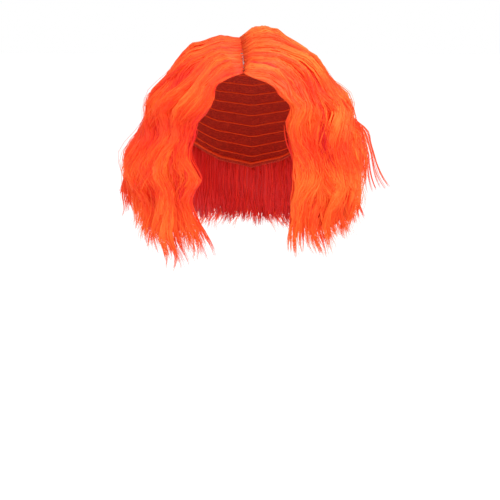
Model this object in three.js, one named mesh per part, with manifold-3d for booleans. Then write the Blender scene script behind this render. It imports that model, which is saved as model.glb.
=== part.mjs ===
import * as THREE from 'three';
import { mergeVertices } from 'three/addons/utils/BufferGeometryUtils.js';
import Module from 'manifold-3d';

const wasm = await Module();
wasm.setup();

// A short wavy wig with a centre parting: a hollow cap, a parting strip and seven panels of hair.
// Millimetres, +Z up. The wearer faces -Y, so the wearer's left is +X.
// The origin is the inside top of the cap, where it sits on the crown of a head.

// The inside of the cap is an ellipsoid: half its width, half its length, and the rise
// from its widest level to the crown.
const headHalfWidth = 76;
const headHalfLength = 95;
const headRise = 95;
const capWall = 1.5;

// Clearances: between the cap and what lies on it, and between two panels of hair side by side.
const seatGap = 0.4;
const panelGap = 2;

// The strip under the parting, from the cap's front edge back over the crown.
const stripWidth = 4;
const stripThickness = 1;
const stripRearY = 26;

// The hair's volume: how far its outer form stands off the head at the sides, in front, behind and
// over the crown, and how far in from the head's side it starts beside the face.
const sideVolume = 68;
const frontVolume = 3;
const backVolume = 39;
const crownHeight = 10;
const faceInset = 16;

// The rounded top ends this far below the head's widest level, where the hair hangs straight.
const sideDrop = 41;
const frontDrop = 7;
const backDrop = 33;
// How full the top's curve is: 2 is an ellipse, and less is more like a cone.
const sideFullness = 1.5;
const frontFullness = 2;
const backFullness = 1.75;

// The parting's groove, and the taller roll of hair on the wearer's left of it. The parting leans
// to the wearer's right towards the crown, and takes the hair beside it along.
const partingDepth = 8;
const partingWidth = 11;
const partingLean = 9;
const leanReach = 70;
const rollHeight = 11;
const rollOut = 31;
const rollWidth = 26;
const rollLength = 70;

// Half the width of the crown row, where the back's hair starts behind the parting strip.
const crownRowHalfWidth = 40;

// Hair thickness: least at the roots, and where it hangs free of the head. The inner face leaves
// the cap gradually, over a span of height round the head's widest level.
const rootThickness = 2.4;
const hangingThickness = 32;
const leavingSpan = 28;
// How deep the valleys are between the locks.
const lockDepth = 8;

// From the crown of the head to the longest tip, and how far the hair beside the neck turns in and
// that at the sides flares out, to the wearer's left and right.
const hairLength = 264;
const neckTuck = 16;
const leftFlare = -8;
const rightFlare = 10;

// Waves: from one crest to the next, the sway sideways and the swell outwards.
const waveLength = 76;
const waveSway = 6;
const waveSwell = 4;

// Thin locks that stand off the hair: the furthest that one stands out, half its width, and half
// its thickness.
const strayStand = 34;
const strayHalfWidth = 6;
const strayHalfThickness = 4;

// The nape's under layer: how high above the cap's edge it is sewn, its wall, and its reach to each
// side in degrees from the back.
const napeRootRise = 14;
const napeThickness = 9;
const napeTurn = 74;
const napeLocks = 7;

// The cap's edge: turn from the front in degrees, and its drop as a share of the head's rise.
const capEdge = [
  { turn: 0, drop: 0.37 },
  { turn: 20, drop: 0.42 },
  { turn: 35, drop: 0.64 },
  { turn: 50, drop: 0.97 },
  { turn: 68, drop: 1.18 },
  { turn: 90, drop: 1.23 },
  { turn: 120, drop: 1.35 },
  { turn: 150, drop: 1.56 },
  { turn: 180, drop: 1.66 },
];

// Hair is measured by two shares: across, from the face's edge (0) to the back's middle (1), and
// along, from the root (0) over the dropping-off point to the tip (1).
const dropShare = 0.5;
const crownRowShare = 0.56;

// How far down the tips reach on each side, as shares of the hair's length.
const tipDrops = [
  { across: 0, left: 0.91, right: 0.945 },
  { across: 0.1, left: 0.99, right: 1 },
  { across: 0.24, left: 0.925, right: 0.885 },
  { across: 0.34, left: 0.855, right: 0.81 },
  { across: 0.45, left: 0.8, right: 0.76 },
  { across: 0.6, left: 0.87, right: 0.855 },
  { across: 0.8, left: 0.94, right: 0.93 },
  { across: 1, left: 0.955, right: 0.955 },
];
const napeTipDrop = 0.895;

// The panels on each side: their shares across, and where each of their locks ends along.
const panels = [
  { name: 'front', from: 0, to: 0.24, ends: [0.95, 1, 0.94, 0.99] },
  { name: 'side', from: 0.24, to: crownRowShare, ends: [0.93, 1, 0.92, 0.98] },
  { name: 'back', from: crownRowShare, to: 1, ends: [0.98, 0.93, 1, 0.94, 0.99] },
];

// Where the stray locks are, and how far they stand out at mid-length and at the tip, as shares.
const strays = [
  { side: 'left', panel: 'side', across: 0.44, from: 0.36, to: 0.74, lift: 0.53, stand: 1 },
  { side: 'left', panel: 'side', across: 0.52, from: 0.5, to: 0.94, lift: 0.1, stand: 0.35 },
  { side: 'right', panel: 'side', across: 0.44, from: 0.5, to: 0.92, lift: 0.1, stand: 0.35 },
  { side: 'right', panel: 'side', across: 0.36, from: 0.5, to: 0.9, lift: 0.1, stand: 0.27 },
];

// How finely the curves are cut into facets.
const aroundHead = 28;
const downHead = 14;
const lockSides = 6;
const stationCount = 22;
const stations = Array.from({ length: stationCount }, (_, i) => i / (stationCount - 1));

// What follows from the sizes above.
const centreZ = -headRise;
const hairHalfWidth = headHalfWidth + sideVolume;
const hairFrontReach = headHalfLength + frontVolume;
const hairBackReach = headHalfLength + backVolume;
const faceTurn = Math.asin((headHalfWidth - faceInset) / hairHalfWidth);
const hairlineY = -headHalfLength * Math.sqrt(1 - (1 - capEdge[0].drop) ** 2);
const capOuter = capWall + seatGap;

const lerp = THREE.MathUtils.lerp;
const clamp = THREE.MathUtils.clamp;
const smooth = (low, high, x) => THREE.MathUtils.smoothstep(x, low, high);
const share = (low, high, x) => clamp((x - low) / (high - low), 0, 1);

// Reads a column of a table of rows, with straight lines between the rows.
function readTable(rows, key, column, at) {
  const next = clamp(rows.findIndex((row) => row[key] >= at), 1, rows.length - 1);
  const [low, high] = [rows[next - 1], rows[next]];
  return lerp(low[column], high[column], share(low[key], high[key], at));
}

// Solids

function solidOf(geometry) {
  const bare = geometry.clone();
  bare.deleteAttribute('normal');
  bare.deleteAttribute('uv');
  const merged = mergeVertices(bare, 1e-4);
  return new wasm.Manifold(new wasm.Mesh({
    numProp: 3,
    vertProperties: merged.attributes.position.array,
    triVerts: new Uint32Array(merged.index.array),
  }));
}

// A closed solid through rings of equal length, each a list of points that runs the same way round.
// The last strip is split the other way, so that two walls side by side are split alike.
function loft(rings) {
  const size = rings[0].length;
  const points = rings.flat();
  const faces = [];
  for (let r = 0; r + 1 < rings.length; r++) {
    for (let i = 0; i < size; i++) {
      const a = r * size + i;
      const b = r * size + (i + 1) % size;
      if (b > a) faces.push(a, b, b + size, a, b + size, a + size);
      else faces.push(a, b, a + size, b, b + size, a + size);
    }
  }
  // Opposite points are joined across, which suits both a lens and a long thin wall.
  const closeEnd = (start, flip) => {
    for (let i = 0; i < size / 2 - 1; i++) {
      const quad = [start + i, start + size - 1 - i, start + size - 2 - i, start + i + 1];
      if (flip) quad.reverse();
      faces.push(quad[0], quad[1], quad[2], quad[0], quad[2], quad[3]);
    }
  };
  closeEnd(0, false);
  closeEnd((rings.length - 1) * size, true);
  const geometry = new THREE.BufferGeometry().setFromPoints(points);
  geometry.setIndex(faces);
  const made = solidOf(geometry);
  if (made.volume() > 0) return made;
  geometry.setIndex(faces.reverse());
  return solidOf(geometry);
}

// A union as one body: slivers thinner than this go, and small closed hollows are filled.
const sliver = 0.12;
function oneBody(pieces, cutAway) {
  const whole = wasm.Manifold.union(pieces).subtract(cutAway).asOriginal().simplify(sliver);
  return whole.decompose().reduce((best, body) => (body.volume() > best.volume() ? body : best));
}

// The head's ellipsoid, grown by a wall or a clearance.
function headSolid(extra) {
  const ball = new THREE.SphereGeometry(1, aroundHead, downHead);
  ball.rotateX(Math.PI / 2);
  ball.scale(headHalfWidth + extra, headHalfLength + extra, headRise + extra);
  ball.translate(0, 0, centreZ);
  return solidOf(ball);
}

// Everything above the cap's edge, out to beyond the hair. Its underside starts at a small hub
// inside the head, where nothing is cut.
function aboveCapEdge() {
  const reach = hairHalfWidth;
  const hub = headHalfWidth / 8;
  const ringAt = (radius, level) => Array.from({ length: aroundHead }, (_, i) => {
    const turn = (i / aroundHead) * 2 * Math.PI;
    const degrees = Math.abs(THREE.MathUtils.radToDeg(turn > Math.PI ? turn - 2 * Math.PI : turn));
    const z = level ?? -headRise * readTable(capEdge, 'turn', 'drop', degrees);
    return new THREE.Vector3(radius * Math.sin(turn), -radius * Math.cos(turn), z);
  });
  return loft([ringAt(hub, centreZ), ringAt(hub * 2), ringAt(reach), ringAt(reach, headRise)]);
}

// The hair's smooth outer form

// Height of the rounded top over a point of the plan; x is measured towards the side.
function domeHeight(side, x, y) {
  const acrossShare = (x / hairHalfWidth) ** 2;
  const alongShare = (y / (y < 0 ? hairFrontReach : hairBackReach)) ** 2;
  const reach = Math.min(acrossShare + alongShare, 1);
  const sideways = acrossShare / (acrossShare + alongShare);
  const drop = lerp(y < 0 ? frontDrop : backDrop, sideDrop, sideways);
  const fullness = lerp(y < 0 ? frontFullness : backFullness, sideFullness, sideways);
  const fall = (crownHeight + headRise + drop) * (1 - (1 - reach) ** (1 / fullness));
  const roll = side.roll * Math.exp(-(((x - rollOut) / rollWidth) ** 2) - (y / rollLength) ** 2);
  const nearParting = 1 - smooth(stripRearY, stripRearY + 2 * partingWidth, y);
  const groove = partingDepth * nearParting * Math.exp(-((x / partingWidth) ** 2));
  return crownHeight + roll - groove - fall;
}

// Where the hair drops off its widest outline, in plan.
function dropAt(across) {
  const turn = lerp(faceTurn, Math.PI, across);
  const reach = Math.cos(turn) > 0 ? hairFrontReach : hairBackReach;
  return new THREE.Vector2(hairHalfWidth * Math.sin(turn), -reach * Math.cos(turn));
}

// Where it leaves the cap, in plan: along the parting strip, then across the crown. The crown row
// starts on the line that the strip's rearmost hair takes outwards, and ends at the middle.
function rootAt(across) {
  const stripRear = new THREE.Vector2(stripWidth / 2 + seatGap, stripRearY);
  if (across <= crownRowShare) {
    return new THREE.Vector2(stripRear.x, lerp(hairlineY, stripRearY, across / crownRowShare));
  }
  const rowStart = stripRear.clone().lerp(dropAt(crownRowShare), crownRowHalfWidth / hairHalfWidth);
  const rowEnd = new THREE.Vector2(0, stripRearY + 2 * panelGap);
  return rowStart.lerp(rowEnd, share(crownRowShare, 1, across));
}

// The point of the cap, or below it of a tube as wide, that lies inwards of a point of the hair.
function seatUnder(point) {
  const up = Math.max(point.z - centreZ, 0);
  const size = Math.hypot(
    point.x / (headHalfWidth + capOuter),
    point.y / (headHalfLength + capOuter),
    up / (headRise + capOuter),
  );
  const z = up > 0 ? centreZ + up / size : point.z;
  return new THREE.Vector3(point.x / size, point.y / size, z);
}

// The outer form at a share across and along, before any waves.
function outerAt(side, across, along) {
  const rounded = Math.sin((share(0, dropShare, along) * Math.PI) / 2);
  const hanging = share(dropShare, 1, along);
  const plan = rootAt(across).lerp(dropAt(across), rounded);
  const outer = new THREE.Vector3(plan.x, plan.y, domeHeight(side, plan.x, plan.y));
  if (hanging > 0) {
    const tip = -hairLength * readTable(tipDrops, 'across', side.name, across);
    outer.z = lerp(outer.z, tip, hanging);
    outer.x += side.flare * Math.sin(across * Math.PI) * hanging;
    outer.x -= neckTuck * (1 - smooth(0, panels[0].to / 2, across)) * smooth(0.3, 1, hanging);
  }
  const seat = seatUnder(outer);
  const away = seat.clone().setZ(Math.max(seat.z - centreZ, 0)).normalize();
  if (outer.clone().sub(seat).dot(away) < rootThickness) {
    outer.copy(seat).addScaledVector(away, rootThickness);
  }
  return outer;
}

// How thick the hair is there, from its outer form to the cap or to its free inner face.
function thicknessAt(outer) {
  const toSeat = outer.distanceTo(seatUnder(outer));
  const free = smooth(-leavingSpan, leavingSpan, centreZ - outer.z);
  return lerp(toSeat, Math.min(toSeat, hangingThickness), free);
}

// The hair's length from a share along to the point where it drops off, less than 0 below that.
function runToDrop(side, across, along) {
  const steps = 12;
  const points = Array.from({ length: steps + 1 }, (_, i) => (
    outerAt(side, across, lerp(along, dropShare, i / steps))));
  const run = points.reduce((sum, point, i) => sum + (i ? point.distanceTo(points[i - 1]) : 0), 0);
  return along < dropShare ? run : -run;
}

// A place on the outer form, with its directions inwards and sideways and its thickness.
function placeAt(side, across, along) {
  const step = 0.01;
  const outer = outerAt(side, across, along);
  const inwards = seatUnder(outer).sub(outer).normalize();
  const flow = outerAt(side, across, Math.min(along + step, 1))
    .sub(outerAt(side, across, Math.max(along - step, 0)));
  const sideways = flow.cross(inwards).normalize();
  return { outer, inwards, sideways, thickness: thicknessAt(outer) };
}

// Moves a point sideways with the leaning parting.
function lean(point) {
  const towardsCrown = point.y < stripRearY ? share(hairlineY, stripRearY, point.y)
    : share(hairBackReach, stripRearY, point.y);
  point.x -= partingLean * towardsCrown * (1 - smooth(0, leanReach, Math.abs(point.x)));
  return point;
}

// A point of the hair with the waves worked in. Its depth is given as a share of the thickness,
// plus a distance in mm. The sway dies out at the back's middle, where both sides meet.
function hairPoint(side, panel, across, along, depthShare, depth) {
  const { outer, inwards, sideways, thickness } = placeAt(side, across, along);
  const down = depthShare * thickness + depth;
  const outerness = 1 - share(0, thickness, down);
  const strength = outerness * Math.min(thickness / hangingThickness, 1);
  const phase = (-2 * Math.PI * runToDrop(side, across, along)) / waveLength
    + side.wavePhase + across * side.waveDrift;
  const sway = waveSway * strength * smooth(0, 0.08, 1 - across) * Math.sin(phase);
  const squeeze = (0.5 - share(panel.from, panel.to, across)) * panelGap;
  const point = outer.addScaledVector(inwards, down - waveSwell * strength * Math.cos(phase));
  point.addScaledVector(sideways, squeeze + sway);
  point.x *= side.sign;
  return lean(point);
}

// The panels of hair

// Shares along: where a lock starts to leave its wall, and where the wall ends.
const lockStart = 0.66;
const wallEnd = 0.86;
// Shares: a valley's greatest depth and the wall's thickness at its lower edge, of the thickness
// there, and half a lock's width, of the locks' spacing.
const valleyShare = 0.45;
const hemShare = 0.42;
const lockWidthShare = 0.62;
// How far a solid reaches into the clearance that trims it.
const trimReach = 3;

// How wide a lock still is at a share down it, as it tapers from a start to its small blunt end.
const taperAt = (down, start) => Math.max(1 - smooth(start, 1.04, down) ** 1.2, 0.04);

// The wall of a panel, ridged into its locks, with its lower edge tucked in behind their tips.
function panelWall(side, panel) {
  const columns = 2 * panel.ends.length;
  const acrosses = Array.from({ length: columns + 1 }, (_, c) => lerp(panel.from, panel.to, c / columns));
  return loft(stations.filter((along) => along < wallEnd).map((along) => {
    const face = acrosses.map((across, c) => {
      const valley = Math.min(lockDepth, placeAt(side, across, along).thickness * valleyShare);
      const ridge = valley * smooth(lockStart, wallEnd, along);
      return hairPoint(side, panel, across, along, 0, c % 2 ? ridge : valley);
    });
    const back = acrosses.map((across) => {
      const { outer } = placeAt(side, across, along);
      const extra = trimReach * (1 - smooth(0, leavingSpan, centreZ - outer.z));
      const thinning = lerp(1, hemShare, smooth(dropShare, wallEnd, along));
      return hairPoint(side, panel, across, along, thinning, extra);
    });
    return [...face, ...back.reverse()];
  }));
}

// A lock that swells out of the wall and ends in a point, as a lens-shaped bar. Its half width is a
// share across, and it comes away from the rest of the hair by its lift, then by its stand.
function lock(side, panel, shape) {
  const lastStep = stations[1] / 2;
  const alongs = stations.filter((along) => along >= shape.from && along < shape.to - lastStep);
  return loft([...alongs, shape.to].map((along) => {
    const down = share(shape.from, shape.to, along);
    const width = taperAt(down, 0.5) * lerp(0.4, 1, smooth(0, 0.4, down));
    const bulge = shape.halfThickness * Math.sqrt(width);
    const off = shape.lift * smooth(0.1, 0.5, down) + (shape.stand - shape.lift) * smooth(0.5, 1, down);
    const middle = bulge * lerp(1, 0.5, down) - off;
    return Array.from({ length: lockSides }, (_, i) => {
      const turn = ((i + 0.5) / lockSides) * 2 * Math.PI;
      const across = clamp(shape.across + shape.half * width * Math.cos(turn), panel.from, panel.to);
      return hairPoint(side, panel, across, along, 0, middle - bulge * Math.sin(turn));
    });
  }));
}

function panelLocks(side, panel) {
  const pitch = (panel.to - panel.from) / panel.ends.length;
  const ends = side.sign > 0 ? panel.ends : [...panel.ends].reverse();
  return ends.map((to, i) => lock(side, panel, {
    across: panel.from + (i + 0.5) * pitch,
    half: pitch * lockWidthShare,
    halfThickness: lockDepth,
    from: lockStart,
    to,
    lift: 0,
    stand: 0,
  }));
}

function panelStrays(side, panel) {
  const half = strayHalfWidth / (hairHalfWidth * (Math.PI - faceTurn));
  return strays.filter((row) => row.side === side.name && row.panel === panel.name)
    .map((row) => lock(side, panel, {
      ...row,
      half,
      halfThickness: strayHalfThickness,
      lift: row.lift * strayStand,
      stand: row.stand * strayStand,
    }));
}

function hairPanel(side, panel, headClearance) {
  const pieces = [panelWall(side, panel), ...panelLocks(side, panel), ...panelStrays(side, panel)];
  return oneBody(pieces, headClearance);
}

// The under layer at the nape

// How thick it is at a share down it.
const napeWall = (down) => napeThickness * lerp(0.4, 1, smooth(0, 0.6, down));

// A point of it by its share from ear to ear, its share down and its depth inwards.
function napePoint(round, down, depth) {
  const turn = Math.PI + THREE.MathUtils.degToRad(lerp(-napeTurn, napeTurn, round));
  const degrees = THREE.MathUtils.radToDeg(Math.min(turn, 2 * Math.PI - turn));
  const root = napeRootRise - headRise * readTable(capEdge, 'turn', 'drop', degrees);
  const tip = -hairLength * napeTipDrop;
  const level = Math.sqrt(1 - ((root - centreZ) / (headRise + capOuter)) ** 2);
  const phase = (2 * Math.PI * down * (root - tip)) / waveLength + round * napeLocks;
  const out = capOuter + napeWall(down) - depth + waveSway * 0.3 * down * Math.sin(phase);
  const reachX = headHalfWidth * level + out;
  const reachY = headHalfLength * level + out;
  return new THREE.Vector3(reachX * Math.sin(turn), -reachY * Math.cos(turn), lerp(root, tip, down));
}

// Shares down it: where its locks start, and where its wall ends.
const napeLockStart = 0.5;
const napeWallEnd = 0.75;

function napeBacking() {
  const rows = 7;
  const columns = 2 * napeLocks;
  const rounds = Array.from({ length: columns + 1 }, (_, c) => c / columns);
  return loft(Array.from({ length: rows }, (_, r) => {
    const down = (napeWallEnd * r) / (rows - 1);
    const wall = napeWall(down);
    const face = rounds.map((round, c) => napePoint(round, down, c % 2 ? 0 : wall * valleyShare));
    const back = rounds.map((round) => (
      napePoint(round, down, wall * lerp(1, 0.7, down) + trimReach * (1 - down))));
    return [...face, ...back.reverse()];
  }));
}

function napeLock(i) {
  const rows = 6;
  const end = i % 2 ? 0.93 : 1;
  return loft(Array.from({ length: rows }, (_, r) => {
    const down = lerp(napeLockStart, end, r / (rows - 1));
    const width = taperAt(r / (rows - 1), 0.3);
    const bulge = napeThickness * 0.35 * Math.sqrt(width);
    return Array.from({ length: lockSides }, (_, k) => {
      const turn = ((k + 0.5) / lockSides) * 2 * Math.PI;
      const round = (i + 0.5 + lockWidthShare * width * Math.cos(turn)) / napeLocks;
      return napePoint(clamp(round, 0, 1), down, bulge * (1 - Math.sin(turn)));
    });
  }));
}

function napeHair(headClearance) {
  const locks = Array.from({ length: napeLocks }, (_, i) => napeLock(i));
  return oneBody([napeBacking(), ...locks], headClearance);
}

// The cap and the parting strip

function capSolid() {
  return headSolid(capWall).subtract(headSolid(0)).intersect(aboveCapEdge());
}

function stripSolid() {
  const shell = headSolid(capOuter + stripThickness).subtract(headSolid(capOuter));
  const length = stripRearY - hairlineY;
  const bar = new THREE.BoxGeometry(stripWidth, length, headRise);
  bar.translate(0, length / 2, 0);
  bar.rotateZ(Math.atan(partingLean / length));
  bar.translate(0, hairlineY, 0);
  return shell.intersect(solidOf(bar));
}

// The finished wig

function geometryOf(solid) {
  const mesh = solid.getMesh();
  const geometry = new THREE.BufferGeometry();
  geometry.setAttribute('position', new THREE.BufferAttribute(mesh.vertProperties, 3));
  geometry.setIndex(new THREE.BufferAttribute(mesh.triVerts, 1));
  return geometry;
}

const capMaterial = new THREE.MeshStandardMaterial({ color: 0xa82a12, roughness: 0.9 });
const stripMaterial = new THREE.MeshStandardMaterial({ color: 0xb9a9a2, roughness: 0.7 });
const hairMaterial = new THREE.MeshStandardMaterial({ color: 0xff5a1e, roughness: 0.45 });
const underHairMaterial = new THREE.MeshStandardMaterial({ color: 0xd02a18, roughness: 0.5 });

const wig = new THREE.Group();
wig.name = 'wig';

function addPiece(name, solid, material) {
  const mesh = new THREE.Mesh(geometryOf(solid), material);
  mesh.name = name;
  wig.add(mesh);
}

// The two sides, which differ in their waves: the phase at the face's edge, and how far it drifts
// to the back's middle, in radians.
const sides = [
  { name: 'left', sign: 1, roll: rollHeight, flare: leftFlare, wavePhase: 2.2, waveDrift: 5 },
  { name: 'right', sign: -1, roll: 0, flare: rightFlare, wavePhase: 4, waveDrift: 4 },
];
const headClearance = headSolid(capOuter);

addPiece('cap', capSolid(), capMaterial);
addPiece('parting_strip', stripSolid(), stripMaterial);
for (const side of sides) {
  for (const panel of panels) {
    addPiece(`hair_${panel.name}_${side.name}`, hairPanel(side, panel, headClearance), hairMaterial);
  }
}
addPiece('hair_nape', napeHair(headClearance), underHairMaterial);

export default wig;
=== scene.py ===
from types import SimpleNamespace

import bpy
import numpy as np
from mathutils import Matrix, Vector


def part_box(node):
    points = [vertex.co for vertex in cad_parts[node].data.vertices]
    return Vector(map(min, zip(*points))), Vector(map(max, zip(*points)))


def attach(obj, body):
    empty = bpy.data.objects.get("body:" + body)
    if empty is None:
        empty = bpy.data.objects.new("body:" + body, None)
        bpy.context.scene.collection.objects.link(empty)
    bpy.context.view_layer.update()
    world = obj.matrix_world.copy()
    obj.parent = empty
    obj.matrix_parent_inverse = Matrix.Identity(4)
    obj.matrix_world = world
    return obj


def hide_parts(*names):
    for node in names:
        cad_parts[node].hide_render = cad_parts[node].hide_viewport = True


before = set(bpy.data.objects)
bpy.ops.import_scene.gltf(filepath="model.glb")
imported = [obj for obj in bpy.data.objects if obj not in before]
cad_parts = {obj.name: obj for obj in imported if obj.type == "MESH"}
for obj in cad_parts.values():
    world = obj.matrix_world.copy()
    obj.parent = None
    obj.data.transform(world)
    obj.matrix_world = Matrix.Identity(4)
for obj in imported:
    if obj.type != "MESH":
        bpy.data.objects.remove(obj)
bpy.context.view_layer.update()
bpy.ops.object.select_all(action="DESELECT")
print("frame loaded, with nodes", ", ".join(sorted(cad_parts)))


# Camera, lights and floor

cameraSizes = SimpleNamespace(
    place=(0.1006, -1.4385, 0.0216),
    aim=(0.0035, 0, -0.2504),
    lens=87,
    sensor=36,
)
floorSizes = SimpleNamespace(level=-0.8, width=60, colour=(0.95, 0.95, 0.95, 1), roughness=0.9)
lightRows = [
    {"name": "key_light", "place": (0.8, -1.1, 1.4), "width": 0.9, "power": 26},
    {"name": "back_light", "place": (0.1, 1.7, 1.2), "width": 1.6, "power": 12},
]
lightAim = (0, 0, -0.13)
skySun = SimpleNamespace(place=(2, -2, 6), aim=(0, 0, 0), strength=0.35, spread=0.6)
worldLight = SimpleNamespace(colour=(1, 1, 1, 1), strength=1.0)


def aimAt(obj, target):
    obj.rotation_euler = (Vector(target) - obj.location).to_track_quat("-Z", "Y").to_euler()


def makeCamera():
    bpy.ops.object.camera_add(location=cameraSizes.place)
    camera = bpy.context.object
    camera.name = "photo_camera"
    camera.data.lens = cameraSizes.lens
    camera.data.sensor_width = cameraSizes.sensor
    aimAt(camera, cameraSizes.aim)
    bpy.context.scene.camera = camera


def makeLights():
    for row in lightRows:
        bpy.ops.object.light_add(type="AREA", location=row["place"])
        light = bpy.context.object
        light.name = row["name"]
        light.data.size = row["width"]
        light.data.energy = row["power"]
        aimAt(light, lightAim)
    bpy.ops.object.light_add(type="SUN", location=skySun.place)
    sun = bpy.context.object
    sun.name = "room_light"
    sun.data.energy = skySun.strength
    sun.data.angle = skySun.spread
    aimAt(sun, skySun.aim)
    world = bpy.data.worlds.new("white_room")
    world.use_nodes = True
    background = world.node_tree.nodes["Background"]
    background.inputs["Color"].default_value = worldLight.colour
    background.inputs["Strength"].default_value = worldLight.strength
    bpy.context.scene.world = world
    bpy.context.scene.view_settings.view_transform = "Standard"


def makeFloor():
    bpy.ops.mesh.primitive_plane_add(size=floorSizes.width, location=(0, 0, floorSizes.level))
    floor = bpy.context.object
    floor.name = "floor"
    finish = Finish("pale_floor", {"Base Color": floorSizes.colour, "Roughness": floorSizes.roughness})
    floor.data.materials.append(finish.material)


# Shader maths

# A number in a shader: arithmetic on it adds Math nodes
class Wire:
    def __init__(self, finish, socket):
        self.finish = finish
        self.socket = socket

    def maths(self, operation, first, second):
        return self.finish.add("Math", {"operation": operation}, {0: first, 1: second}, "Value")

    def __add__(self, other):
        return self.maths("ADD", self, other)

    def __radd__(self, other):
        return self.maths("ADD", other, self)

    def __sub__(self, other):
        return self.maths("SUBTRACT", self, other)

    def __rsub__(self, other):
        return self.maths("SUBTRACT", other, self)

    def __mul__(self, other):
        return self.maths("MULTIPLY", self, other)

    def __rmul__(self, other):
        return self.maths("MULTIPLY", other, self)


# A material, whose constants are set on its own shader
class Finish:
    def __init__(self, name, constants):
        self.material = bpy.data.materials.new(name)
        self.material.use_nodes = True
        self.tree = self.material.node_tree
        self.shader = self.tree.nodes["Principled BSDF"]
        self.fill(self.shader, constants)

    def fill(self, node, sockets):
        for key, value in sockets.items():
            if isinstance(value, Wire):
                self.tree.links.new(value.socket, node.inputs[key])
            else:
                node.inputs[key].default_value = value

    # Adds any node: its settings go in first, then the values or wires of its sockets
    def add(self, kind, settings, sockets, output):
        node = self.tree.nodes.new("ShaderNode" + kind)
        for key, value in settings.items():
            if key == "stops":
                self.setStops(node.color_ramp.elements, value)
            else:
                setattr(node, key, value)
        self.fill(node, sockets)
        return Wire(self, node.outputs[output])

    def setStops(self, elements, stops):
        while len(elements) < len(stops):
            elements.new(0.5)
        for element, (place, colour) in zip(elements, stops):
            element.position = place
            element.color = (*colour, 1)

    def drive(self, **sockets):
        self.fill(self.shader, {key.replace("_", " "): value for key, value in sockets.items()})


# The form of the wig, in metres, as its solids have it

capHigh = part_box("cap")[1]
capWall = 0.0015
form = SimpleNamespace(
    headHalfWidth=capHigh.x - capWall,
    headHalfLength=capHigh.y - capWall,
    headRise=0.095,
    seatGap=0.0004,
    stripWidth=0.004,
    stripThickness=0.001,
    stripRearY=0.026,
    sideVolume=0.068,
    frontVolume=0.003,
    backVolume=0.039,
    crownHeight=capHigh.z - capWall + 0.01,
    faceInset=0.016,
    sideDrop=0.041,
    frontDrop=0.007,
    backDrop=0.033,
    sideFullness=1.5,
    frontFullness=2,
    backFullness=1.75,
    partingDepth=0.008,
    partingWidth=0.011,
    partingLean=0.009,
    leanReach=0.07,
    rollOut=0.031,
    rollWidth=0.026,
    rollLength=0.07,
    crownRowHalfWidth=0.04,
    crownRowGap=0.004,
    rootThickness=0.0024,
    hangingThickness=0.032,
    leavingSpan=0.028,
    hairLength=0.264,
    neckTuck=0.016,
    neckTuckReach=0.12,
    neckTuckStart=0.3,
    waveLength=0.076,
    waveSway=0.006,
    waveSwell=0.004,
    waveFade=0.08,
    dropShare=0.5,
    crownRowShare=0.56,
    wallEnd=0.86,
    hemShare=0.42,
)
capOuter = capWall + form.seatGap
backingParting = 0.0024  # half of the gap that the backing leaves at the parting
mmPerMetre = 1000
centreZ = -form.headRise
hairHalfWidth = form.headHalfWidth + form.sideVolume
frontReach = form.headHalfLength + form.frontVolume
backReach = form.headHalfLength + form.backVolume
faceTurn = np.arcsin((form.headHalfWidth - form.faceInset) / hairHalfWidth)

# The cap's edge: turn from the front in degrees, and its drop as a share of the head's rise
capEdge = {
    "turn": [0, 20, 35, 50, 68, 90, 120, 150, 180],
    "drop": [0.37, 0.42, 0.64, 0.97, 1.18, 1.23, 1.35, 1.56, 1.66],
}
hairlineY = -form.headHalfLength * np.sqrt(1 - (1 - capEdge["drop"][0]) ** 2)

# How far down the tips reach, by the share across from the face's edge to the back's middle
tipDrops = {
    "across": [0, 0.1, 0.24, 0.34, 0.45, 0.6, 0.8, 1],
    "left": [0.91, 0.99, 0.925, 0.855, 0.8, 0.87, 0.94, 0.955],
    "right": [0.945, 1, 0.885, 0.81, 0.76, 0.855, 0.93, 0.955],
}
# The left side, towards +X, has its tone raised: painted light on the side that faces the key lamp
sides = [
    {"name": "left", "sign": 1, "roll": 0.011, "flare": -0.008, "tone": 0.13, "wavePhase": 2.2,
     "waveDrift": 5},
    {"name": "right", "sign": -1, "roll": 0, "flare": 0.01, "tone": 0, "wavePhase": 4, "waveDrift": 4},
]
# How much the top hair stands up, by the distance from the parting, both in mm. It fades out
# between two heights.
crownLift = {
    "fade": (-0.05, -0.01),
    "left": [(0, 1), (5, 2), (25, 0), (38, 1.5), (48, 0), (78, 1.5), (87, 0), (100, -5), (112, -3)],
    "right": [(0, 0), (9, -2), (28, 2), (39, 2.5), (48, 1.5), (64, 5.5), (76, 3), (92, 1), (100, -2)],
}
# How far the loose hair beside the face lies inwards of its solid's edge, or outwards where the
# number is below nought, by the depth below the crown, both in mm. It fades out across the hair
# and towards the parting.
faceSwing = {
    "reach": 0.15,
    "rootFade": 0.015,
    "left": [(30, 8), (37, 11), (47, -5), (58, -5), (68, -13), (75, -11), (86, -2), (94, 1), (109, -1),
             (120, -5), (138, -10), (155, -8), (180, -6), (196, -11), (220, -11)],
    "right": [(30, 3), (36, 3), (48, -3), (62, 6), (80, 6), (92, -2), (103, -4), (117, -9), (132, -7),
              (145, 2), (154, 7), (167, -4), (180, -11), (197, -7), (217, 2), (235, 8)],
}
# How far the hair about the ears lies within its solid's form, by the depth below the crown, both
# in mm. Its middle and its reach are shares across.
earInset = {
    "middle": 0.42,
    "reach": 0.3,
    "left": [(20, 0), (36, 3), (60, 0), (75, 2), (92, 11), (108, 6), (130, 6), (160, 8), (190, 4), (210, 2)],
    "right": [(43, 0), (64, 4), (86, 12), (104, 7), (150, 1), (180, 2), (201, 14), (225, 14)],
}


def lerp(low, high, at):
    return low + (high - low) * at


def share(low, high, at):
    return np.clip((at - low) / (high - low), 0, 1)


def smooth(low, high, at):
    eased = share(low, high, at)
    return eased * eased * (3 - 2 * eased)


def unit(vectors):
    return vectors / np.maximum(np.linalg.norm(vectors, axis=-1, keepdims=True), 1e-12)


def dot(first, second):
    return (first * second).sum(-1, keepdims=True)


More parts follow.
